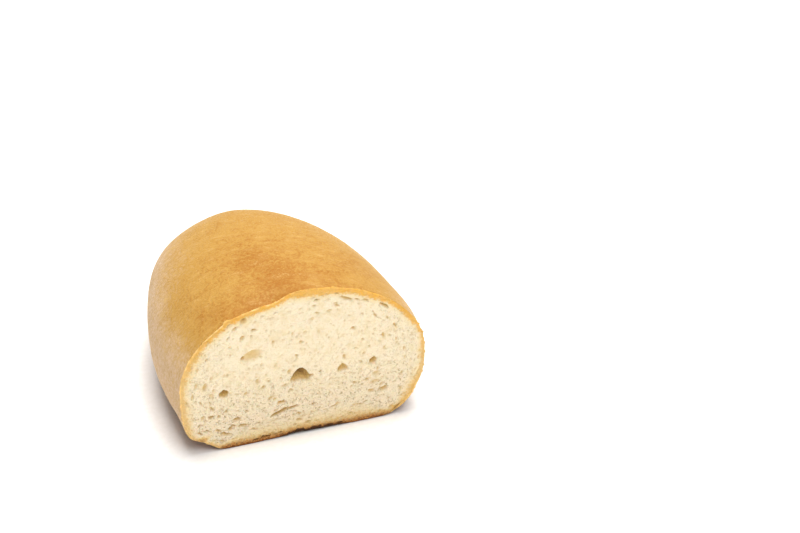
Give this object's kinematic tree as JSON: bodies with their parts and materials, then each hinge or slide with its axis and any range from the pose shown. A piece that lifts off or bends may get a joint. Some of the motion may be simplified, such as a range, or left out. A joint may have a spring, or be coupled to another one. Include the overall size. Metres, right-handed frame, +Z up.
{
  "type": "cut bread loaf",
  "caption": "Half of an oval white bread loaf on a flat base, with a smooth golden crust, domed top, rounded end and a straight cut face that shows the open crumb.",
  "frame": {"origin": "on the table, under the middle of the piece's bounding box", "axes": "+X across the loaf, +Y along it from the cut face to the rounded end, +Z up"},
  "size_m": [0.13, 0.155, 0.0828],
  "materials": {
    "bread": "satin golden-brown baked crust, with matte cream crumb on the cut face"
  },
  "bodies": {
    "root": {"loaf": "bread"}
  },
  "joints": []
}
